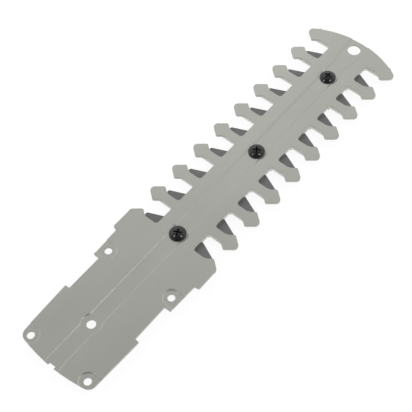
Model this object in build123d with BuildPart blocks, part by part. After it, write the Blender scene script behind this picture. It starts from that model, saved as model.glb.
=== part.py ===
# Cutting blade set of a hand held shrub trimmer: a blunt toothed guard plate, a fixed
# comb behind it and a toothed cutter that slides to and fro between comb and guide bar.
# Lengths are in millimetres. +Z points away from the rest face, +Y towards the tip.
# The origin lies on the guide bar's rest face, on the centre line, level with the
# first free pair of guard teeth.

import os
from math import atan2, cos, degrees, sin, sqrt

from build123d import *

os.makedirs("parts", exist_ok=True)

# Sheet and bar thicknesses, from the rest face upwards
bar_thickness = 3.0
cutter_thickness = 1.8
comb_thickness = 1.8
guard_thickness = 1.5
running_gap = 0.05

bar_top = bar_thickness
cutter_bottom = bar_top + running_gap
comb_bottom = cutter_bottom + cutter_thickness + running_gap
guard_bottom = comb_bottom + comb_thickness
guard_top = guard_bottom + guard_thickness

# Teeth of the guard plate
tooth_pitch = 20.0
free_teeth = 8
spine_half_width = 14.0
stem_half_width = 2.9
stem_length_end = 23.2
head_corner_reach = 27.2
head_corner_half_width = 6.0
head_point_reach = 34.75
root_radius = 2.0
flare_ease = 1.3
head_corner_radius = 1.2
head_tip_radius = 2.7

# Rounded end cap, which takes the place of the last pair of teeth
cap_radius = 62.0
cap_side_height = 2.0
cap_half_width = 33.05
cap_corner_radius = 2.5

# Base of the guard plate, from the shoulder down to the tail
shoulder_half_width = 32.9
shoulder_bottom_y = -34.4
shoulder_corner_radius = 1.3
shoulder_step = 3.0
tab_draft = 0.7
tab_bottom_y = -54.8
waist_step = 4.2
waist_bottom_y = -79.4
tail_step = 2.9
tail_draft = 1.45
tail_crown_y = -119.7
tail_radius = 115.0
tail_corner_radius = 5.0
step_chamfer = 0.35
notch_width = 4.4
notch_depth = 1.45
notch_chamfer = 0.35

# Holes of the guard plate
upper_hole_edge = 5.05
upper_hole_y = -47.95
lower_hole_edge = 4.9
lower_hole_y = -113.4
corner_hole_diameter = 4.5
centre_hole_y = -87.8
centre_hole_diameter = 5.5
hang_hole_y = 164.2
hang_hole_diameter = 8.5

# Pressed channel along the middle and pressed seats round the holes
press_depth = 0.5
press_slope = 0.8
channel_half_width = 5.2
channel_tip_half_width = 7.0
channel_tip_start_y = 148.0
channel_tip_full_y = 160.0
seat_radius = 5.4
round_seat_radius = 6.6

# Screws and the bushes that the cutter slides on
screw_first_y = -14.3
screw_pitch = 74.5
screw_count = 3
screw_diameter = 5.0
screw_head_diameter = 10.4
screw_head_height = 2.5
screw_rim_height = 0.6
cross_size = 5.2
cross_slot_width = 1.25
cross_depth = 1.9
screw_clearance = 0.05
bush_diameter = 8.0

# Fixed comb
comb_bottom_y = -41.0
comb_top_y = 169.0
comb_relief_radius = 7.0
comb_stem_reach = 25.5
comb_root_chamfer = 1.2
comb_corner_chamfer = 3.0

# Sliding cutter: the rest position is the end of its stroke that is nearer the base
stroke = 11.2
cutter_rest_shift = 4.4
cutter_half_width = 12.0
cutter_tooth_root_half_width = 8.15
cutter_tooth_tip_half_width = 2.35
cutter_tooth_reach = 25.4
cutter_tip_chamfer = 0.5
cutter_gullet_chamfer = 1.1
cutter_bevel_width = 1.4
cutter_bevel_height = 1.4
cutter_bevel_start = 2.4
cutter_end_margin = cutter_tooth_root_half_width
slot_side_clearance = 0.1
slot_end_clearance = 0.3
neck_half_width = 8.0
neck_chamfer = 3.5
yoke_centre_y = -62.0
yoke_slot_width = 13.0
yoke_slot_length = 26.0
yoke_rim = 4.5
yoke_corner_chamfer = 5.0

# Guide bar
bar_half_width = 11.0
bar_bottom_y = -38.0
bar_top_y = 158.0
bar_corner_chamfer = 4.0
bar_edge_chamfer = 0.6

screw_places = [(0.0, screw_first_y + index * screw_pitch) for index in range(screw_count)]
guard_rows = [row * tooth_pitch for row in range(-1, free_teeth + 1)]
cutter_rows = [row * tooth_pitch for row in range(-1, free_teeth)]
cap_base_y = free_teeth * tooth_pitch
cap_centre_y = cap_base_y + cap_side_height - sqrt(cap_radius**2 - cap_half_width**2)
cap_crown_y = cap_centre_y + cap_radius
tab_top_half_width = shoulder_half_width - shoulder_step
tab_bottom_half_width = tab_top_half_width - tab_draft
waist_half_width = tab_bottom_half_width - waist_step
tail_top_half_width = waist_half_width + tail_step
tail_bottom_half_width = tail_top_half_width - tail_draft
upper_hole_x = tab_bottom_half_width - upper_hole_edge
lower_hole_x = tail_bottom_half_width - lower_hole_edge
corner_holes = [
    (-upper_hole_x, upper_hole_y),
    (upper_hole_x, upper_hole_y),
    (-lower_hole_x, lower_hole_y),
    (lower_hole_x, lower_hole_y),
]


def finish_part(part, name):
    """Label one finished piece and write it to its own file."""
    part.label = name
    export_step(part, f"parts/{name}.step")


def guard_tooth_profile():
    """One guard tooth that points along +X: a stem, a flare and a blunt head."""
    slope = atan2(
        head_corner_half_width - stem_half_width,
        head_corner_reach - stem_length_end,
    )
    ease_x = stem_length_end + flare_ease * cos(slope)
    ease_y = stem_half_width + flare_ease * sin(slope)
    with BuildSketch() as profile:
        with BuildLine():
            FilletPolyline(
                (ease_x, -ease_y),
                (head_corner_reach, -head_corner_half_width),
                (head_point_reach, 0),
                (head_corner_reach, head_corner_half_width),
                (ease_x, ease_y),
                radius=(head_corner_radius, head_tip_radius, head_corner_radius),
            )
            Polyline(
                (ease_x, ease_y),
                (stem_length_end - flare_ease, stem_half_width),
                (0, stem_half_width),
                (0, -stem_half_width),
                (stem_length_end - flare_ease, -stem_half_width),
                (ease_x, -ease_y),
            )
        make_face()
    return profile.sketch


def base_profile():
    """The wide base below the teeth, with its shoulders, tabs, waist and rounded tail."""
    tail_drop = tail_radius - sqrt(tail_radius**2 - tail_bottom_half_width**2)
    tail_side_y = tail_crown_y + tail_drop
    with BuildSketch() as profile:
        with BuildLine():
            Polyline(
                (-tail_bottom_half_width, tail_side_y),
                (-tail_top_half_width, waist_bottom_y),
                (-waist_half_width, waist_bottom_y),
                (-waist_half_width, tab_bottom_y),
                (-tab_bottom_half_width, tab_bottom_y),
                (-tab_top_half_width, shoulder_bottom_y),
                (-shoulder_half_width, shoulder_bottom_y),
                (-shoulder_half_width, -tooth_pitch),
                (shoulder_half_width, -tooth_pitch),
                (shoulder_half_width, shoulder_bottom_y),
                (tab_top_half_width, shoulder_bottom_y),
                (tab_bottom_half_width, tab_bottom_y),
                (waist_half_width, tab_bottom_y),
                (waist_half_width, waist_bottom_y),
                (tail_top_half_width, waist_bottom_y),
                (tail_bottom_half_width, tail_side_y),
            )
            ThreePointArc(
                (tail_bottom_half_width, tail_side_y),
                (0, tail_crown_y),
                (-tail_bottom_half_width, tail_side_y),
            )
        make_face()
        corners = profile.vertices()
        fillet(corners.filter_by_position(Axis.Y, tail_side_y - 0.1, tail_side_y + 0.1), tail_corner_radius)
        corners = profile.vertices()
        fillet(
            corners.filter_by_position(Axis.Y, shoulder_bottom_y - 0.1, shoulder_bottom_y + 0.1),
            shoulder_corner_radius,
        )
        corners = profile.vertices()
        steps = corners.filter_by_position(Axis.Y, tab_bottom_y - 0.1, tab_bottom_y + 0.1)
        steps += corners.filter_by_position(Axis.Y, waist_bottom_y - 0.1, waist_bottom_y + 0.1)
        chamfer(steps, step_chamfer)
    return profile.sketch


def cap_profile():
    """The blunt end cap: an arc over the tip, with a tooth's own lower side."""
    with BuildSketch() as profile:
        with Locations((0, cap_centre_y)):
            Circle(cap_radius)
        with Locations((0, cap_base_y)):
            Rectangle(
                2 * cap_half_width,
                2 * cap_radius,
                align=(Align.CENTER, Align.MIN),
                mode=Mode.INTERSECT,
            )
        corners = profile.vertices().group_by(Axis.Y)[-1]
        fillet(corners, cap_corner_radius)
    return profile.sketch


def make_guard_plate():
    """The pressed guard plate, which carries all the rest."""
    tooth = guard_tooth_profile()
    base = base_profile()
    cap = cap_profile()
    spine_bottom_y = -tooth_pitch
    spine_top_y = free_teeth * tooth_pitch
    with BuildPart() as guard:
        with BuildSketch(Plane.XY.offset(guard_bottom)) as outline:
            with Locations((0, spine_bottom_y)):
                Rectangle(
                    2 * spine_half_width,
                    spine_top_y - spine_bottom_y,
                    align=(Align.CENTER, Align.MIN),
                )
            for row_y in guard_rows:
                with Locations((0, row_y)):
                    add(tooth)
                with Locations(Location((0, row_y, 0), (0, 0, 180))):
                    add(tooth)
            add(base)
            add(cap)
            roots = outline.vertices().filter_by(
                lambda v: abs(abs(v.X) - spine_half_width) < 0.01 and v.Y > spine_bottom_y
            )
            fillet(roots, root_radius)
            with Locations((0, tail_crown_y)):
                Rectangle(
                    notch_width,
                    2 * notch_depth,
                    mode=Mode.SUBTRACT,
                )
            notch_top_y = tail_crown_y + notch_depth
            notch_corners = outline.vertices().filter_by_position(
                Axis.Y, notch_top_y - 0.01, notch_top_y + 0.01
            )
            chamfer(notch_corners, notch_chamfer)
            with Locations((0, centre_hole_y)):
                Circle(centre_hole_diameter / 2, mode=Mode.SUBTRACT)
            with Locations((0, hang_hole_y)):
                Circle(hang_hole_diameter / 2, mode=Mode.SUBTRACT)
            with Locations(*screw_places):
                Circle(screw_diameter / 2 + screw_clearance, mode=Mode.SUBTRACT)
            with Locations(*corner_holes):
                Circle(corner_hole_diameter / 2, mode=Mode.SUBTRACT)
        extrude(amount=guard_thickness)

        # The channel is wider round the hang hole, and all pressed walls slope
        with BuildSketch(Plane.XY.offset(guard_top)):
            with BuildLine():
                reach = tail_radius
                Polyline(
                    (-channel_half_width, tail_crown_y - reach),
                    (channel_half_width, tail_crown_y - reach),
                    (channel_half_width, channel_tip_start_y),
                    (channel_tip_half_width, channel_tip_full_y),
                    (channel_tip_half_width, cap_crown_y + reach),
                    (-channel_tip_half_width, cap_crown_y + reach),
                    (-channel_tip_half_width, channel_tip_full_y),
                    (-channel_half_width, channel_tip_start_y),
                    close=True,
                )
            make_face()
        extrude(amount=-press_depth, taper=wall_taper(), mode=Mode.SUBTRACT)
        with BuildSketch(Plane.XY.offset(guard_top)):
            with Locations((0, centre_hole_y), *screw_places):
                Circle(round_seat_radius)
        extrude(amount=-press_depth, taper=wall_taper(), mode=Mode.SUBTRACT)

        # The corner seats are round on the inner side and open towards the side edge
        with BuildSketch(Plane.XY.offset(guard_top)):
            with Locations(*corner_holes):
                Circle(seat_radius)
        extrude(amount=-press_depth, taper=wall_taper(), mode=Mode.SUBTRACT)
        for hole_x, hole_y in corner_holes:
            outward = 1 if hole_x > 0 else -1
            with BuildSketch(Plane.XY.offset(guard_top)):
                with Locations((hole_x + outward * (seat_radius - press_slope), hole_y)):
                    Rectangle(2 * seat_radius, 2 * seat_radius)
            extrude(amount=-press_depth, taper=wall_taper(), mode=Mode.SUBTRACT)
    finish_part(guard.part, "guard_plate")


def wall_taper():
    """Slope of the pressed walls, in degrees from upright."""
    return degrees(atan2(press_slope, press_depth))


def make_fixed_comb():
    """The flat hardened comb behind the guard, whose stems are the fixed edges."""
    with BuildPart() as comb:
        with BuildSketch(Plane.XY.offset(comb_bottom)) as outline:
            with Locations((0, comb_bottom_y)):
                Rectangle(
                    2 * spine_half_width,
                    comb_top_y - comb_bottom_y,
                    align=(Align.CENTER, Align.MIN),
                )
            chamfer(outline.vertices(), comb_corner_chamfer)
            for row_y in guard_rows:
                with Locations((0, row_y)):
                    Rectangle(2 * comb_stem_reach, 2 * stem_half_width)
            roots = outline.vertices().filter_by(
                lambda v: abs(abs(v.X) - spine_half_width) < 0.01
                and -tooth_pitch - stem_half_width - 0.1 < v.Y < free_teeth * tooth_pitch
            )
            chamfer(roots, comb_root_chamfer)
            with Locations(*screw_places):
                Circle(screw_diameter / 2 + screw_clearance, mode=Mode.SUBTRACT)
            with Locations((0, hang_hole_y)):
                Circle(comb_relief_radius, mode=Mode.SUBTRACT)
        extrude(amount=comb_thickness)
    finish_part(comb.part, "fixed_comb")


def cutter_tooth_profile():
    """One cutter tooth that points along +X and narrows towards its end."""
    with BuildSketch() as profile:
        with BuildLine():
            Polyline(
                (0, -cutter_tooth_root_half_width),
                (cutter_half_width, -cutter_tooth_root_half_width),
                (cutter_tooth_reach, -cutter_tooth_tip_half_width),
                (cutter_tooth_reach, cutter_tooth_tip_half_width),
                (cutter_half_width, cutter_tooth_root_half_width),
                (0, cutter_tooth_root_half_width),
                close=True,
            )
        make_face()
        chamfer(profile.vertices().group_by(Axis.X)[-1], cutter_tip_chamfer)
    return profile.sketch


def cutter_bevel_wedges():
    """Four wedges that grind the rear edges of one pair of cutter teeth."""
    run = cutter_tooth_reach - cutter_half_width
    drop = cutter_tooth_root_half_width - cutter_tooth_tip_half_width
    flank_length = sqrt(run**2 + drop**2)
    along = Vector(run, -drop, 0) / flank_length
    inward = Vector(-drop, -run, 0) / flank_length
    root = Vector(cutter_half_width, cutter_tooth_root_half_width, cutter_bottom)
    start = root + along * cutter_bevel_start
    half_width = cutter_bevel_width / 2
    half_height = cutter_bevel_height / 2
    with BuildPart() as wedges:
        with BuildSketch(Plane(origin=start, x_dir=inward, z_dir=along)):
            with BuildLine():
                Polyline(
                    (-half_width, -3 * half_height),
                    (3 * half_width, half_height),
                    (-half_width, half_height),
                    close=True,
                )
            make_face()
        extrude(amount=flank_length)
        mirror(about=Plane.XZ)
        mirror(about=Plane.YZ)
    return wedges.part


def make_cutter():
    """The sliding cutter, with bevelled teeth, three guide slots and the drive yoke."""
    tooth = cutter_tooth_profile()
    bevels = cutter_bevel_wedges()
    rows = [row_y + cutter_rest_shift for row_y in cutter_rows]
    body_top_y = rows[-1] + cutter_end_margin
    yoke_y = yoke_centre_y - stroke / 2
    yoke_width = yoke_slot_width + 2 * yoke_rim
    yoke_length = yoke_slot_length + 2 * yoke_rim
    body_bottom_y = rows[0] - cutter_end_margin
    with BuildPart() as cutter:
        with BuildSketch(Plane.XY.offset(cutter_bottom)) as outline:
            with Locations((0, body_bottom_y)):
                Rectangle(
                    2 * cutter_half_width,
                    body_top_y - body_bottom_y,
                    align=(Align.CENTER, Align.MIN),
                )
            for row_y in rows:
                with Locations((0, row_y)):
                    add(tooth)
                with Locations(Location((0, row_y, 0), (0, 0, 180))):
                    add(tooth)
            gullets = outline.vertices().filter_by(
                lambda v: abs(abs(v.X) - cutter_half_width) < 0.01
                and body_bottom_y + 0.1 < v.Y < body_top_y - 0.1
            )
            chamfer(gullets, cutter_gullet_chamfer)
            with Locations((0, yoke_y)):
                Rectangle(
                    2 * neck_half_width,
                    body_bottom_y - yoke_y,
                    align=(Align.CENTER, Align.MIN),
                )
            with Locations((0, yoke_y)):
                Rectangle(yoke_length, yoke_width)
            yoke_ends = outline.vertices().filter_by(
                lambda v: abs(abs(v.X) - yoke_length / 2) < 0.01 and v.Y < body_bottom_y
            )
            chamfer(yoke_ends, yoke_corner_chamfer)
            waists = outline.vertices().filter_by(
                lambda v: abs(abs(v.X) - neck_half_width) < 0.01 and v.Y < body_bottom_y + 0.1
            )
            chamfer(waists, neck_chamfer)
            with Locations((0, yoke_y)):
                SlotOverall(yoke_slot_length, yoke_slot_width, mode=Mode.SUBTRACT)
            # The notch at the tip keeps the hang hole free at the far end of the stroke
            with Locations((0, hang_hole_y - stroke)):
                Circle(comb_relief_radius, mode=Mode.SUBTRACT)
                Rectangle(
                    2 * comb_relief_radius,
                    tooth_pitch,
                    align=(Align.CENTER, Align.MIN),
                    mode=Mode.SUBTRACT,
                )
            for _, screw_y in screw_places:
                slot_width = bush_diameter + 2 * slot_side_clearance
                slot_length = slot_width + stroke + 2 * slot_end_clearance
                with Locations((0, screw_y - stroke / 2)):
                    SlotOverall(slot_length, slot_width, rotation=90, mode=Mode.SUBTRACT)
        extrude(amount=cutter_thickness)
        for row_y in rows:
            with Locations((0, row_y, 0)):
                add(bevels, mode=Mode.SUBTRACT)
    finish_part(cutter.part, "cutter_blade")


def make_guide_bar():
    """The stiff bar on the back, which the set rests on and the screws pull against."""
    with BuildPart() as bar:
        with BuildSketch() as outline:
            with Locations((0, bar_bottom_y)):
                Rectangle(
                    2 * bar_half_width,
                    bar_top_y - bar_bottom_y,
                    align=(Align.CENTER, Align.MIN),
                )
            chamfer(outline.vertices(), bar_corner_chamfer)
            with Locations(*screw_places):
                Circle(screw_diameter / 2 + screw_clearance, mode=Mode.SUBTRACT)
        extrude(amount=bar_thickness)
        chamfer(bar.faces().sort_by(Axis.Z)[0].outer_wire().edges(), bar_edge_chamfer)
    finish_part(bar.part, "guide_bar")


def make_bushes():
    """Flat bushes between bar and comb, a little thicker than the cutter."""
    names = ("base_bush", "middle_bush", "tip_bush")
    for name, place in zip(names, screw_places):
        with BuildPart() as bush:
            with BuildSketch(Plane.XY.offset(bar_top)):
                with Locations(place):
                    Circle(bush_diameter / 2)
                    Circle(screw_diameter / 2 + screw_clearance, mode=Mode.SUBTRACT)
            extrude(amount=comb_bottom - bar_top)
        finish_part(bush.part, name)


def make_screws():
    """Three dome headed screws with a cross recess, whose ends stay inside the bar."""
    head_radius = screw_head_diameter / 2
    screw_end = bar_edge_chamfer / 2
    dome_rise = screw_head_height - screw_rim_height
    seat = guard_top - press_depth
    with BuildPart() as screws:
        for place in screw_places:
            with BuildSketch(Plane.XY.offset(screw_end)):
                with Locations(place):
                    Circle(screw_diameter / 2)
            extrude(amount=seat - screw_end)
        for x, y in screw_places:
            with BuildSketch(Plane.XZ.offset(-y)):
                with BuildLine():
                    Polyline(
                        (0, seat + screw_head_height),
                        (0, seat),
                        (head_radius, seat),
                        (head_radius, seat + screw_rim_height),
                    )
                    dome_radius = (head_radius**2 + dome_rise**2) / (2 * dome_rise)
                    RadiusArc(
                        (head_radius, seat + screw_rim_height),
                        (0, seat + screw_head_height),
                        -dome_radius,
                    )
                make_face()
            revolve(axis=Axis((x, y, 0), (0, 0, 1)))
        recess_top = seat + screw_head_height
        with BuildSketch(Plane.XY.offset(recess_top)):
            with Locations(*screw_places):
                Rectangle(cross_size, cross_slot_width, rotation=45)
                Rectangle(cross_size, cross_slot_width, rotation=-45)
        extrude(amount=-cross_depth, taper=12, mode=Mode.SUBTRACT)
    finish_part(screws.part, "guard_screws")


make_guard_plate()
make_fixed_comb()
make_cutter()
make_guide_bar()
make_bushes()
make_screws()
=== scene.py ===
"""Looks of a shrub trimmer's cutting blade set, lying face up under soft studio light."""

import bmesh
import bpy
import numpy as np
from mathutils import Matrix, Vector


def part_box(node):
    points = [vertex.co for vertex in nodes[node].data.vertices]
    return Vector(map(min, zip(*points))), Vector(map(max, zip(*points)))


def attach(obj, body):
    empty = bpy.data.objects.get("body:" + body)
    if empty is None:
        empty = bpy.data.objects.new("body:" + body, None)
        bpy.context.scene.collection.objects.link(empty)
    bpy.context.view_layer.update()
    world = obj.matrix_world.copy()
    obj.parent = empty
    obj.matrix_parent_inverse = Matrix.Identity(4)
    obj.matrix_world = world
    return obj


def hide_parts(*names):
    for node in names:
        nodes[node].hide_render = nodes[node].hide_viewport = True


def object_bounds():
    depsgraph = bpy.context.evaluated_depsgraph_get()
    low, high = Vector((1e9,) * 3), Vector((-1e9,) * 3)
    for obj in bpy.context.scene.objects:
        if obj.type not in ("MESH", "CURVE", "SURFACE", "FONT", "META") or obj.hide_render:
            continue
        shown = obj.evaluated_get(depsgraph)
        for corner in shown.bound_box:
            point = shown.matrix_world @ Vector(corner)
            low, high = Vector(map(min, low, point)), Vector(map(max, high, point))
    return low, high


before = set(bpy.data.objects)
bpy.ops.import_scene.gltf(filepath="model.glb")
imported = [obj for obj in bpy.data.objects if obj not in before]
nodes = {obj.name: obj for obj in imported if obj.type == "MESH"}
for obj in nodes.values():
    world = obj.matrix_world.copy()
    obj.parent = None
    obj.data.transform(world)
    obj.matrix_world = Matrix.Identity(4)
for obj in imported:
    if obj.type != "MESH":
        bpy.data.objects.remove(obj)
cad_box = [list(corner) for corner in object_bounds()]

# The visible face of the guard plate, in metres above the rest face
face_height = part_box("guard_plate")[1][2]

# Camera: the directions of its right, down and view axes, and its place above the face.
# The view axis meets the picture right of its middle. The sensor is in millimetres.
CAMERA_RIGHT = Vector((0.77755, 0.62863, -0.01552))
CAMERA_DOWN = Vector((0.52921, -0.66751, -0.52380))
CAMERA_VIEW = Vector((-0.33964, 0.39907, -0.85170))
CAMERA_PLACE = Vector((0.20314, -0.20406, 0.47769))
FOCAL_PIXELS = 944.75
FRAME_PIXELS = 412
CENTRE_PIXEL_X = 231.25
SENSOR_WIDTH = 36.0
CLIP_NEAR = 0.01
CLIP_FAR = 20.0

# Colours, as linear values
PLATE_PALE = (0.424, 0.427, 0.391)
PLATE_DARK = (0.398, 0.401, 0.366)
COMB_PALE = (0.50, 0.50, 0.47)
COMB_DARK = (0.44, 0.44, 0.41)
CUTTER_PALE = (0.192, 0.192, 0.192)
CUTTER_DARK = (0.160, 0.160, 0.160)
BAR_PALE = (0.36, 0.36, 0.35)
BAR_DARK = (0.30, 0.30, 0.29)
BUSH_PALE = (0.44, 0.43, 0.41)
BUSH_DARK = (0.36, 0.355, 0.34)
SCREW_BLACK = (0.007, 0.007, 0.0075)
SCREW_WORN = (0.05, 0.05, 0.052)
# Painted shade: the inside of the driver recess is a darker, duller black than the screw.
SCREW_RECESS_SHADE = (0.003, 0.003, 0.003)
FLOOR_PALE = (0.80, 0.80, 0.80)

# Which way a pattern runs: the direction with the smaller number is drawn out
EVEN_RUN = (1.0, 1.0, 1.0)
GRAIN_ALONG = (1.0, 0.04, 1.0)
GRAIN_ACROSS = (0.05, 1.0, 1.0)
CLOUD_RUN = (1.0, 0.5, 1.0)
HAIRLINE_RUN = (1.0, 0.03, 1.0)
RING_RUN = (0.2, 0.2, 6.0)

# Sheet finishes: node, material, pale and dark colour, how metallic it is, its range of
# roughness, the run of its grain and how strongly its edges are paled, partly as handling
# wear and partly as a painted highlight along the rims
SHEETS = (
    ("guard_plate", "plate_steel", PLATE_PALE, PLATE_DARK, 0.7, (0.30, 0.40), GRAIN_ALONG, 0.4),
    ("fixed_comb", "comb_steel", COMB_PALE, COMB_DARK, 1.0, (0.27, 0.36), GRAIN_ACROSS, 0.5),
    ("cutter_blade", "cutter_steel", CUTTER_PALE, CUTTER_DARK, 0.10, (0.46, 0.56), GRAIN_ACROSS, 0.5),
    ("guide_bar", "bar_steel", BAR_PALE, BAR_DARK, 1.0, (0.34, 0.46), GRAIN_ALONG, 0.5),
)
BUSHES = ("base_bush", "middle_bush", "tip_bush")

# How fine each pattern is: the higher, the finer
GRAIN_SCALE = 2600.0
CLOUD_SCALE = 38.0
HAIRLINE_SCALE = 900.0
RING_SCALE = 1500.0
PATCH_SCALE = 1100.0
RECESS_SCALE = 1500.0

# Sheet steel: how strongly a hairline shows, and how much paler hairlines, cut walls
# and edges are. Cut walls are paler partly for their sheared finish and partly as painted
# light that the walls catch; edges partly for handling wear and partly as a painted highlight
HAIRLINE_SHARE = 0.25
HAIRLINE_LIFT = 1.12
WALL_FINISH_AND_SHEEN_LIFT = 1.16
EDGE_WEAR_AND_HIGHLIGHT_LIFT = 1.25

# Bushes and screws: their range of roughness, and how rubbed their edges are
BUSH_GLOSS = (0.24, 0.36)
BUSH_RUBBED = 0.5
SCREW_GLOSS = (0.08, 0.18)
SCREW_RUBBED = 0.6

# An edge: the cosine between true and rounded normal where it begins and where it is full
EDGE_BEGINS = 0.995
EDGE_FULL = 0.85

# A cut wall: how upright its normal may be where it begins and where it is full
WALL_BEGINS = 0.5
WALL_FULL = 0.2

# Height of the grain, and width of the paler band along edges (handling wear, and on the
# sheets also a painted highlight), in metres
GRAIN_HEIGHT = 0.00001
EDGE_WEAR_AND_HIGHLIGHT_WIDTH = 0.00035
SCREW_RUBBED_WIDTH = 0.000105

# How far each screw stopped from the lie of its recess in the frame, in degrees
SCREW_TURNS = (-20.0, -12.0, -45.0)

# Screw heads: edges sharper than this many degrees stay sharp, and points closer than
# this many metres are one point
SHARP_DEGREES = 28.0
SAME_POINT = 1e-6

# Driver recess: its reach and the depths to look at, as shares of the head's radius,
# and how upright a normal is on the dome
RECESS_REACH = 0.62
RECESS_SEEN_DEPTH = 0.5
RECESS_SUNK_DEPTH = 0.2
DOME_UPRIGHT = 0.8

# Sky light on matt surfaces, and the room that mirror rays see: pairs of the cosine to
# the camera's direction and the tone there
SKY_SOFT = 0.70
ROOM_STRENGTH = 1.22
ROOM_STOPS = ((0.0, 0.88), (0.28, 1.0), (0.57, 0.46), (0.66, 0.54), (0.82, 0.42), (0.965, 0.17))

# How white sight rays see the floor, how much of its true shading shows under that
# white, and how far it reaches, in metres
FLOOR_WHITE = 1.09
FLOOR_SHADOW = 0.16
FLOOR_REACH = 3.0

# Lamps: name, place and width in metres, and power in watts. The first three are large
# and stand round the set. The last two are small and bright, high beside the camera.
LAMPS = (
    ("far_lamp", (-0.72, 0.58, 0.77), 0.8, 0.60),
    ("side_lamp", (-1.03, -0.12, 0.61), 0.6, 0.3),
    ("tip_lamp", (0.58, 0.66, 0.70), 0.6, 0.33),
    ("left_lamp", (-0.44, -0.48, 1.01), 0.20, 1.0),
    ("right_lamp", (0.53, 0.21, 1.05), 0.20, 1.4),
)


def new_material(name):
    """A fresh node material and its node tree, with only an output in it."""
    material = bpy.data.materials.new(name)
    material.use_nodes = True
    tree = material.node_tree
    tree.nodes.clear()
    tree.nodes.new("ShaderNodeOutputMaterial")
    return material, tree


def object_position(tree, scale):
    """A Mapping node that reads the piece's own coordinates, stretched by scale."""
    coordinates = tree.nodes.new("ShaderNodeTexCoord")
    mapping = tree.nodes.new("ShaderNodeMapping")
    mapping.inputs["Scale"].default_value = scale
    tree.links.new(coordinates.outputs["Object"], mapping.inputs["Vector"])
    return mapping.outputs["Vector"]


def noise(tree, vector, scale, detail):
    """A Noise texture's value at that position."""
    texture = tree.nodes.new("ShaderNodeTexNoise")
    texture.inputs["Scale"].default_value = scale
    texture.inputs["Detail"].default_value = detail
    tree.links.new(vector, texture.inputs["Vector"])
    return texture.outputs["Fac"]


def ramp(tree, value, low, high, first, second):
    """A colour that goes from first to second while value goes from low to high."""
    colours = tree.nodes.new("ShaderNodeValToRGB")
    colours.color_ramp.elements[0].position = low
    colours.color_ramp.elements[0].color = (*first, 1.0)
    colours.color_ramp.elements[1].position = high
    colours.color_ramp.elements[1].color = (*second, 1.0)
    tree.links.new(value, colours.inputs["Fac"])
    return colours.outputs["Color"]


def spread(tree, value, low, high):
    """The value carried from 0..1 to low..high."""
    mapped = tree.nodes.new("ShaderNodeMapRange")
    mapped.inputs["To Min"].default_value = low
    mapped.inputs["To Max"].default_value = high
    tree.links.new(value, mapped.inputs["Value"])
    return mapped.outputs["Result"]


def paler(colour, factor):
    """The colour times a factor."""
    return tuple(factor * part for part in colour)


def blend_colour(tree, share, first, second):
    """The first colour where share is 0 and the second where it is 1."""
    blend = tree.nodes.new("ShaderNodeMix")
    blend.data_type = "RGBA"
    tree.links.new(share, blend.inputs["Factor"])
    for socket, colour in ((blend.inputs["A"], first), (blend.inputs["B"], second)):
        if isinstance(colour, tuple):
            socket.default_value = (*colour, 1.0)
        else:
            tree.links.new(colour, socket)
    return blend.outputs["Result"]


def edge_wear_and_highlight_band(tree, width):
    """A value that rises from 0 on open faces to 1 on edges, and the rounded normal there.

    The share is one less the cosine between the true normal and the normal that a
    round of that width would have.
    """
    rounded = tree.nodes.new("ShaderNodeBevel")
    rounded.samples = 6
    rounded.inputs["Radius"].default_value = width
    geometry = tree.nodes.new("ShaderNodeNewGeometry")
    cosine = tree.nodes.new("ShaderNodeVectorMath")
    cosine.operation = "DOT_PRODUCT"
    tree.links.new(rounded.outputs["Normal"], cosine.inputs[0])
    tree.links.new(geometry.outputs["True Normal"], cosine.inputs[1])
    share = tree.nodes.new("ShaderNodeMapRange")
    share.inputs["From Min"].default_value = EDGE_BEGINS
    share.inputs["From Max"].default_value = EDGE_FULL
    tree.links.new(cosine.outputs["Value"], share.inputs["Value"])
    return share.outputs["Result"], rounded.outputs["Normal"]


def upright_walls(tree):
    """A value that is 1 on the cut walls of a sheet and 0 on its flat faces."""
    geometry = tree.nodes.new("ShaderNodeNewGeometry")
    parts = tree.nodes.new("ShaderNodeSeparateXYZ")
    tree.links.new(geometry.outputs["True Normal"], parts.inputs["Vector"])
    rise = tree.nodes.new("ShaderNodeMath")
    rise.operation = "ABSOLUTE"
    tree.links.new(parts.outputs["Z"], rise.inputs[0])
    share = tree.nodes.new("ShaderNodeMapRange")
    share.inputs["From Min"].default_value = WALL_BEGINS
    share.inputs["From Max"].default_value = WALL_FULL
    tree.links.new(rise.outputs["Value"], share.inputs["Value"])
    return share.outputs["Result"]


def product(tree, value, factor):
    """The value times a factor."""
    scaled = tree.nodes.new("ShaderNodeMath")
    scaled.operation = "MULTIPLY"
    scaled.inputs[1].default_value = factor
    tree.links.new(value, scaled.inputs[0])
    return scaled.outputs["Value"]


def grain_bump(tree, height, normal, strength):
    """A bump as high as the grain on top of a normal."""
    bump = tree.nodes.new("ShaderNodeBump")
    bump.inputs["Strength"].default_value = strength
    bump.inputs["Distance"].default_value = GRAIN_HEIGHT
    tree.links.new(height, bump.inputs["Height"])
    tree.links.new(normal, bump.inputs["Normal"])
    return bump.outputs["Normal"]


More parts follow.
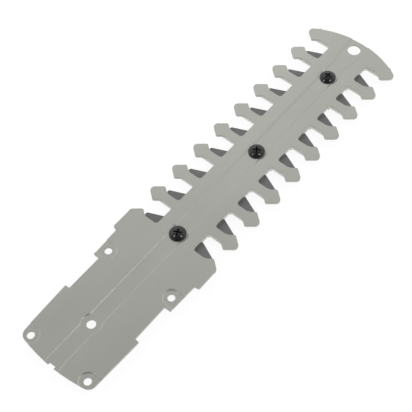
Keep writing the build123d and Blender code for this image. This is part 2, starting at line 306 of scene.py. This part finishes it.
def sheet_steel(name, pale, dark, metal, gloss, grain_run, edge_wear_and_highlight):
    """Satin sheet steel.

    It has a fine grain, faint clouds and sparse hairlines, cut walls painted paler (partly
    their sheared finish, partly painted light that the walls catch), and edges painted paler
    (partly handling wear, partly a painted highlight along the rims).
    """
    material, tree = new_material(name)
    shader = tree.nodes.new("ShaderNodeBsdfPrincipled")
    shader.inputs["Metallic"].default_value = metal
    grain = noise(tree, object_position(tree, grain_run), GRAIN_SCALE, 3.0)
    clouds = noise(tree, object_position(tree, CLOUD_RUN), CLOUD_SCALE, 3.0)
    scratches = noise(tree, object_position(tree, HAIRLINE_RUN), HAIRLINE_SCALE, 1.0)
    colour = ramp(tree, clouds, 0.30, 0.70, dark, pale)
    lines = ramp(tree, scratches, 0.70, 0.74, (0.0, 0.0, 0.0), (1.0, 1.0, 1.0))
    hairline = product(tree, lines, HAIRLINE_SHARE)
    colour = blend_colour(tree, hairline, colour, paler(pale, HAIRLINE_LIFT))
    # Cut walls painted paler: partly their sheared finish, partly painted light that the walls catch.
    colour = blend_colour(tree, upright_walls(tree), colour, paler(pale, WALL_FINISH_AND_SHEEN_LIFT))
    # Edges painted paler: partly handling wear, partly a painted highlight along the rims.
    edges, rounded = edge_wear_and_highlight_band(tree, EDGE_WEAR_AND_HIGHLIGHT_WIDTH)
    colour = blend_colour(tree, product(tree, edges, edge_wear_and_highlight), colour, paler(pale, EDGE_WEAR_AND_HIGHLIGHT_LIFT))
    tree.links.new(colour, shader.inputs["Base Color"])
    tree.links.new(spread(tree, grain, *gloss), shader.inputs["Roughness"])
    tree.links.new(grain_bump(tree, grain, rounded, 0.25), shader.inputs["Normal"])
    tree.links.new(shader.outputs["BSDF"], tree.nodes["Material Output"].inputs["Surface"])
    return material


def turned_steel(name, pale, dark):
    """Bush steel with the fine rings that turning leaves and rubbed edges."""
    material, tree = new_material(name)
    shader = tree.nodes.new("ShaderNodeBsdfPrincipled")
    shader.inputs["Metallic"].default_value = 1.0
    rings = noise(tree, object_position(tree, RING_RUN), RING_SCALE, 2.0)
    colour = ramp(tree, rings, 0.35, 0.65, dark, pale)
    edges, rounded = edge_wear_and_highlight_band(tree, EDGE_WEAR_AND_HIGHLIGHT_WIDTH)
    colour = blend_colour(tree, product(tree, edges, BUSH_RUBBED), colour, paler(pale, 1.2))
    tree.links.new(colour, shader.inputs["Base Color"])
    tree.links.new(spread(tree, rings, *BUSH_GLOSS), shader.inputs["Roughness"])
    tree.links.new(grain_bump(tree, rings, rounded, 0.3), shader.inputs["Normal"])
    tree.links.new(shader.outputs["BSDF"], tree.nodes["Material Output"].inputs["Surface"])
    return material


def blackened_steel(name, colour, worn):
    """Glossy black screw steel, a little uneven, with its edges rubbed greyer."""
    material, tree = new_material(name)
    shader = tree.nodes.new("ShaderNodeBsdfPrincipled")
    shader.inputs["Specular IOR Level"].default_value = 0.45
    patches = noise(tree, object_position(tree, EVEN_RUN), PATCH_SCALE, 3.0)
    mottled = ramp(tree, patches, 0.35, 0.75, colour, paler(colour, 2.0))
    edges, rounded = edge_wear_and_highlight_band(tree, SCREW_RUBBED_WIDTH)
    coloured = blend_colour(tree, product(tree, edges, SCREW_RUBBED), mottled, worn)
    tree.links.new(coloured, shader.inputs["Base Color"])
    tree.links.new(spread(tree, patches, *SCREW_GLOSS), shader.inputs["Roughness"])
    tree.links.new(grain_bump(tree, patches, rounded, 0.35), shader.inputs["Normal"])
    tree.links.new(shader.outputs["BSDF"], tree.nodes["Material Output"].inputs["Surface"])
    return material


def recess_painted_shade(name, colour):
    """Painted shade inside a driver recess, where light hardly gets in: a duller black, darker than
    the screw's own.
    """
    material, tree = new_material(name)
    shader = tree.nodes.new("ShaderNodeBsdfPrincipled")
    shader.inputs["Specular IOR Level"].default_value = 0.15
    shader.inputs["Roughness"].default_value = 0.6
    patches = noise(tree, object_position(tree, EVEN_RUN), RECESS_SCALE, 2.0)
    mottled = ramp(tree, patches, 0.3, 0.8, colour, paler(colour, 1.8))
    tree.links.new(mottled, shader.inputs["Base Color"])
    tree.links.new(shader.outputs["BSDF"], tree.nodes["Material Output"].inputs["Surface"])
    return material


def give(piece, material):
    """Put one material on every slot of a piece."""
    if not piece.material_slots:
        piece.data.materials.append(material)
    for slot in piece.material_slots:
        slot.material = material


def dress_pieces():
    """Give each sheet and bush its finish."""
    for node, material, *finish in SHEETS:
        give(nodes[node], sheet_steel(material, *finish))
    bush = turned_steel("bush_steel", BUSH_PALE, BUSH_DARK)
    for node in BUSHES:
        give(nodes[node], bush)


def recess_faces(mesh, axes, top, head_radius):
    """1 for each face inside a driver recess and 0 for the others.

    Such a face lies well inside the head's rim, and is either steeper than the dome
    can be there or lower than the dome is there.
    """
    count = len(mesh.polygons)
    centres = np.empty(3 * count)
    mesh.polygons.foreach_get("center", centres)
    centres = centres.reshape(-1, 3)
    normals = np.empty(3 * count)
    mesh.polygons.foreach_get("normal", normals)
    normals = normals.reshape(-1, 3)
    across = np.abs(centres[:, 1, None] - axes).min(axis=1)
    inside = np.hypot(centres[:, 0], across) < RECESS_REACH * head_radius
    seen = centres[:, 2] > top - RECESS_SEEN_DEPTH * head_radius
    low = centres[:, 2] < top - RECESS_SUNK_DEPTH * head_radius
    sunk = (normals[:, 2] < DOME_UPRIGHT) | low
    return (inside & seen & sunk).astype(np.int32)


def place_screws():
    """The three screws of the frame, each turned about its own axis.

    A vertex goes round the axis of its own screw by that screw's angle. Heights and
    distances from the axis stay, so the form is the frame's own.
    """
    node = nodes["guard_screws"]
    low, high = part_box("guard_screws")
    head_radius = high[0]
    axes = np.linspace(low[1] + head_radius, high[1] - head_radius, len(SCREW_TURNS))
    mesh = node.data.copy()
    merged = bmesh.new()
    merged.from_mesh(mesh)
    bmesh.ops.remove_doubles(merged, verts=merged.verts, dist=SAME_POINT)
    merged.to_mesh(mesh)
    merged.free()
    points = np.empty(3 * len(mesh.vertices))
    mesh.vertices.foreach_get("co", points)
    points = points.reshape(-1, 3)
    owner = np.abs(points[:, 1, None] - axes).argmin(axis=1)
    angle = np.radians(SCREW_TURNS)[owner]
    x = points[:, 0].copy()
    y = points[:, 1] - axes[owner]
    points[:, 0] = x * np.cos(angle) - y * np.sin(angle)
    points[:, 1] = x * np.sin(angle) + y * np.cos(angle) + axes[owner]
    mesh.vertices.foreach_set("co", points.ravel())
    mesh.materials.clear()
    mesh.shade_smooth()
    mesh.set_sharp_from_angle(angle=np.radians(SHARP_DEGREES))
    mesh.materials.append(blackened_steel("screw_black", SCREW_BLACK, SCREW_WORN))
    # The driver recess faces get the painted shade.
    mesh.materials.append(recess_painted_shade("screw_recess_shade", SCREW_RECESS_SHADE))
    mesh.polygons.foreach_set("material_index", recess_faces(mesh, axes, high[2], head_radius))
    mesh.update()
    screws = bpy.data.objects.new("turned_screws", mesh)
    bpy.context.scene.collection.objects.link(screws)
    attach(screws, "frame")
    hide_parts("guard_screws")


def either(tree, first, second):
    """A value that is the larger of two."""
    largest = tree.nodes.new("ShaderNodeMath")
    largest.operation = "MAXIMUM"
    tree.links.new(first, largest.inputs[0])
    tree.links.new(second, largest.inputs[1])
    return largest.outputs["Value"]


def sight_and_gloss(tree):
    """A value that is 1 for camera, mirror and see-through rays and 0 for the rest."""
    path = tree.nodes.new("ShaderNodeLightPath")
    mirror = either(tree, path.outputs["Is Glossy Ray"], path.outputs["Is Transmission Ray"])
    return either(tree, path.outputs["Is Camera Ray"], mirror)


def make_world():
    """A white surround, soft light on matt surfaces and a graded room for mirror rays.

    What a mirror ray sees depends on the cosine to the camera's direction, in straight
    lines between the stops. The room is bright to the sides and dims towards the
    camera, with a faint band on the way that the sloping press walls mirror.
    """
    world = bpy.data.worlds.new("studio")
    bpy.context.scene.world = world
    world.use_nodes = True
    tree = world.node_tree
    tree.nodes.clear()
    output = tree.nodes.new("ShaderNodeOutputWorld")
    soft = tree.nodes.new("ShaderNodeBackground")
    soft.inputs["Strength"].default_value = SKY_SOFT
    seen = tree.nodes.new("ShaderNodeBackground")
    seen.inputs["Strength"].default_value = 1.0
    room = tree.nodes.new("ShaderNodeBackground")
    room.inputs["Strength"].default_value = ROOM_STRENGTH
    direction = tree.nodes.new("ShaderNodeTexCoord")
    cosine = tree.nodes.new("ShaderNodeVectorMath")
    cosine.operation = "DOT_PRODUCT"
    cosine.inputs[1].default_value = tuple(-CAMERA_VIEW)
    tree.links.new(direction.outputs["Generated"], cosine.inputs[0])
    fall = tree.nodes.new("ShaderNodeValToRGB")
    stops = fall.color_ramp.elements
    while len(stops) < len(ROOM_STOPS):
        stops.new(0.5)
    for stop, (position, tone) in zip(stops, ROOM_STOPS):
        stop.position = position
        stop.color = (tone, tone, tone, 1.0)
    tree.links.new(cosine.outputs["Value"], fall.inputs["Fac"])
    tree.links.new(fall.outputs["Color"], room.inputs["Color"])
    path = tree.nodes.new("ShaderNodeLightPath")
    gloss = tree.nodes.new("ShaderNodeMixShader")
    tree.links.new(path.outputs["Is Glossy Ray"], gloss.inputs["Fac"])
    tree.links.new(soft.outputs["Background"], gloss.inputs[1])
    tree.links.new(room.outputs["Background"], gloss.inputs[2])
    sight = tree.nodes.new("ShaderNodeMixShader")
    white = either(tree, path.outputs["Is Camera Ray"], path.outputs["Is Transmission Ray"])
    tree.links.new(white, sight.inputs["Fac"])
    tree.links.new(gloss.outputs["Shader"], sight.inputs[1])
    tree.links.new(seen.outputs["Background"], sight.inputs[2])
    tree.links.new(sight.outputs["Shader"], output.inputs["Surface"])


def make_floor():
    """A pale floor that the set lies on. Sight rays see it white, with its soft shadow.

    From below it is clear, so that the underside shows.
    """
    lowest = cad_box[0][2]
    mesh = bpy.data.meshes.new("floor")
    signs = ((-1, -1), (1, -1), (1, 1), (-1, 1))
    corners = [(across * FLOOR_REACH, along * FLOOR_REACH, lowest) for across, along in signs]
    mesh.from_pydata(corners, [], [(0, 1, 2, 3)])
    floor = bpy.data.objects.new("floor", mesh)
    bpy.context.scene.collection.objects.link(floor)
    material, tree = new_material("floor_pale")
    diffuse = tree.nodes.new("ShaderNodeBsdfDiffuse")
    diffuse.inputs["Color"].default_value = (*FLOOR_PALE, 1.0)
    seen = tree.nodes.new("ShaderNodeEmission")
    seen.inputs["Color"].default_value = (1.0, 1.0, 1.0, 1.0)
    seen.inputs["Strength"].default_value = FLOOR_WHITE
    mix = tree.nodes.new("ShaderNodeMixShader")
    share = tree.nodes.new("ShaderNodeMath")
    share.operation = "MULTIPLY"
    share.inputs[1].default_value = 1.0 - FLOOR_SHADOW
    tree.links.new(sight_and_gloss(tree), share.inputs[0])
    tree.links.new(share.outputs["Value"], mix.inputs["Fac"])
    tree.links.new(diffuse.outputs["BSDF"], mix.inputs[1])
    tree.links.new(seen.outputs["Emission"], mix.inputs[2])
    below = tree.nodes.new("ShaderNodeNewGeometry")
    clear = tree.nodes.new("ShaderNodeBsdfTransparent")
    sided = tree.nodes.new("ShaderNodeMixShader")
    tree.links.new(below.outputs["Backfacing"], sided.inputs["Fac"])
    tree.links.new(mix.outputs["Shader"], sided.inputs[1])
    tree.links.new(clear.outputs["BSDF"], sided.inputs[2])
    tree.links.new(sided.outputs["Shader"], tree.nodes["Material Output"].inputs["Surface"])
    mesh.materials.append(material)


def make_lamps():
    """Square soft lamps at their places, turned towards the frame's origin."""
    for name, place, size, power in LAMPS:
        light = bpy.data.lights.new(name, "AREA")
        light.shape = "SQUARE"
        light.size = size
        light.energy = power
        lamp = bpy.data.objects.new(name, light)
        lamp.location = place
        lamp.rotation_mode = "QUATERNION"
        lamp.rotation_quaternion = (-Vector(place)).to_track_quat("-Z", "Y")
        bpy.context.scene.collection.objects.link(lamp)


def make_camera():
    """The camera at the photograph's angle, with the picture's off-centre framing."""
    data = bpy.data.cameras.new("camera")
    data.sensor_width = SENSOR_WIDTH
    data.lens = FOCAL_PIXELS * SENSOR_WIDTH / FRAME_PIXELS
    data.shift_x = (FRAME_PIXELS / 2 - CENTRE_PIXEL_X) / FRAME_PIXELS
    data.clip_start = CLIP_NEAR
    data.clip_end = CLIP_FAR
    camera = bpy.data.objects.new("camera", data)
    turn = Matrix((CAMERA_RIGHT, -CAMERA_DOWN, -CAMERA_VIEW)).transposed()
    place = CAMERA_PLACE + Vector((0.0, 0.0, face_height))
    camera.matrix_world = Matrix.Translation(place) @ turn.to_4x4()
    bpy.context.scene.collection.objects.link(camera)
    bpy.context.scene.camera = camera


make_camera()
make_world()
make_floor()
make_lamps()
dress_pieces()
place_screws()

bpy.context.scene.view_settings.view_transform = "Standard"
